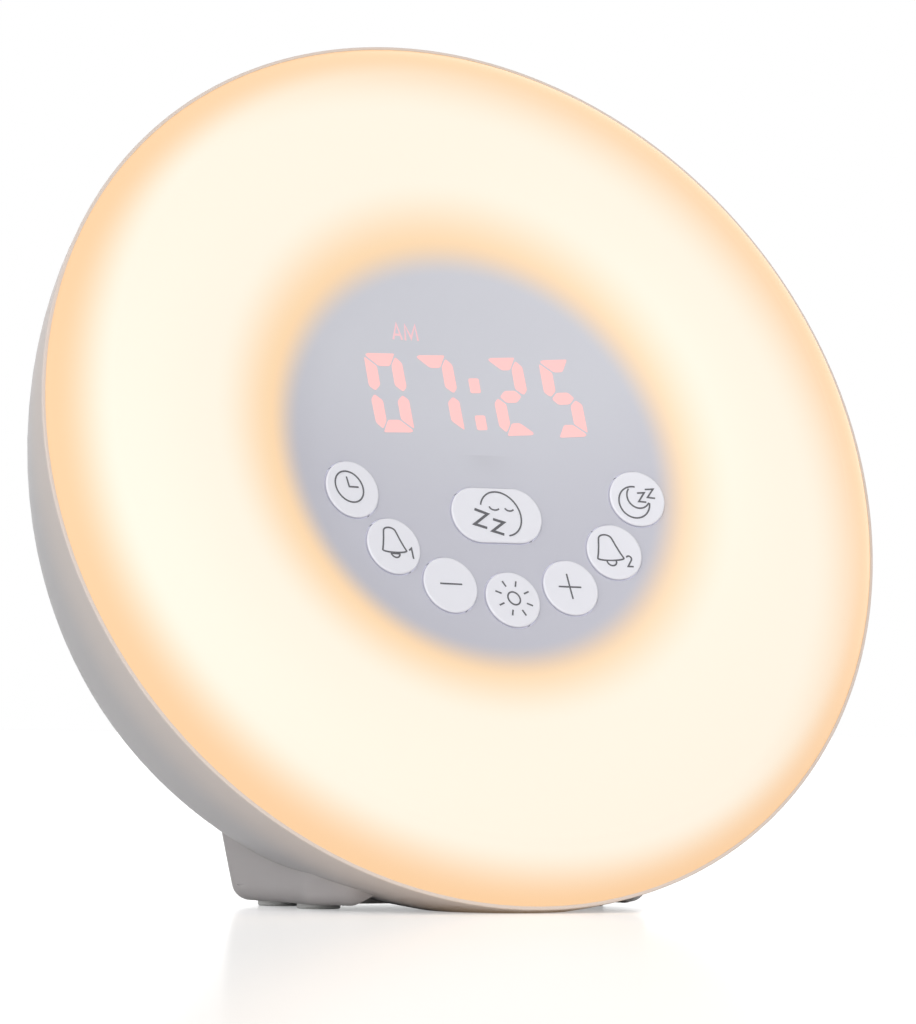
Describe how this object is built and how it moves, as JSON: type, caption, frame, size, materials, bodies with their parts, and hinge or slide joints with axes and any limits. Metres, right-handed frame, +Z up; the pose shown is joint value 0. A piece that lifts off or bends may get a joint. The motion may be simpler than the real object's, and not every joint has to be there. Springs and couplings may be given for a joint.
{
  "type": "sunrise alarm clock",
  "caption": "Round wake-up light on a low foot: domed glowing ring round a dished field with display and keys, bowl-shaped back with speaker, battery bay and supply socket.",
  "frame": {"origin": "middle of the footprint's bounding box on the surface the clock stands on", "axes": "+Z up, the front faces -Y and leans back 19 degrees, +X to the right seen from the front"},
  "size_m": [0.1706, 0.108, 0.162],
  "materials": {
    "housing_grey": "moulded grey plastic with a soft gloss",
    "opal_front": "opal white plastic, lit warm from behind",
    "key_grey": "pale grey satin plastic",
    "switch_plunger": "black nylon",
    "clear_pad": "soft clear rubber",
    "zinc_screw": "zinc-plated steel",
    "contact_metal": "nickel-plated spring steel",
    "mask_black": "black plastic",
    "seal_foam": "closed-cell foam",
    "board_green": "green glass-epoxy board",
    "board_white": "white-coated aluminium board",
    "lamp_yellow": "lamp with a yellow phosphor",
    "reflector_white": "white reflecting plastic",
    "display_glow": "segment that glows pink when lit",
    "basket_black": "black painted pressed steel",
    "cone_paper": "dark paper",
    "magnet_ferrite": "ferrite magnet with a steel plate"
  },
  "bodies": {
    "root": {"rear_housing": "housing_grey", "foot_base": "housing_grey", "front_diffuser": "opal_front", "foot_pads": "clear_pad", "foot_screws": "zinc_screw", "case_screws": "zinc_screw", "board_screws": "zinc_screw", "speaker_screws": "zinc_screw", "battery_contacts": "contact_metal", "supply_socket": "contact_metal", "centre_shroud": "mask_black", "tact_switches": "mask_black", "display_module": "mask_black", "seal_ring": "seal_foam", "main_board": "board_green", "power_board": "board_green", "led_board": "board_white", "led_emitters": "lamp_yellow", "reflector_tray": "reflector_white", "display_segments": "display_glow", "speaker_frame": "basket_black", "speaker_cone": "cone_paper", "speaker_magnet": "magnet_ferrite"},
    "clock_button": {"clock_key": "key_grey", "clock_plunger": "switch_plunger"},
    "alarm_one_button": {"alarm_one_key": "key_grey", "alarm_one_plunger": "switch_plunger"},
    "minus_button": {"minus_key": "key_grey", "minus_plunger": "switch_plunger"},
    "light_button": {"light_key": "key_grey", "light_plunger": "switch_plunger"},
    "plus_button": {"plus_key": "key_grey", "plus_plunger": "switch_plunger"},
    "alarm_two_button": {"alarm_two_key": "key_grey", "alarm_two_plunger": "switch_plunger"},
    "sleep_button": {"sleep_key": "key_grey", "sleep_plunger": "switch_plunger"},
    "snooze_button": {"snooze_key": "key_grey", "snooze_plunger": "switch_plunger"},
    "door": {"battery_door": "housing_grey"}
  },
  "joints": [
    {"name": "clock_press", "type": "slide", "parent": "root", "child": "clock_button", "axis": [0, 0.9455, -0.3256], "range_m": [0, 0.0007], "stiffness_N_per_m": 900, "springref_m": -0.0006},
    {"name": "alarm_one_press", "type": "slide", "parent": "root", "child": "alarm_one_button", "axis": [0, 0.9455, -0.3256], "range_m": [0, 0.0007], "stiffness_N_per_m": 900, "springref_m": -0.0006},
    {"name": "minus_press", "type": "slide", "parent": "root", "child": "minus_button", "axis": [0, 0.9455, -0.3256], "range_m": [0, 0.0007], "stiffness_N_per_m": 900, "springref_m": -0.0006},
    {"name": "light_press", "type": "slide", "parent": "root", "child": "light_button", "axis": [0, 0.9455, -0.3256], "range_m": [0, 0.0007], "stiffness_N_per_m": 900, "springref_m": -0.0006},
    {"name": "plus_press", "type": "slide", "parent": "root", "child": "plus_button", "axis": [0, 0.9455, -0.3256], "range_m": [0, 0.0007], "stiffness_N_per_m": 900, "springref_m": -0.0006},
    {"name": "alarm_two_press", "type": "slide", "parent": "root", "child": "alarm_two_button", "axis": [0, 0.9455, -0.3256], "range_m": [0, 0.0007], "stiffness_N_per_m": 900, "springref_m": -0.0006},
    {"name": "sleep_press", "type": "slide", "parent": "root", "child": "sleep_button", "axis": [0, 0.9455, -0.3256], "range_m": [0, 0.0007], "stiffness_N_per_m": 900, "springref_m": -0.0006},
    {"name": "snooze_press", "type": "slide", "parent": "root", "child": "snooze_button", "axis": [0, 0.9455, -0.3256], "range_m": [0, 0.0007], "stiffness_N_per_m": 900, "springref_m": -0.0006},
    {"name": "door_slide", "type": "slide", "parent": "root", "child": "door", "axis": [0, 0.3256, 0.9455], "range_m": [0, 0.04]}
  ]
}
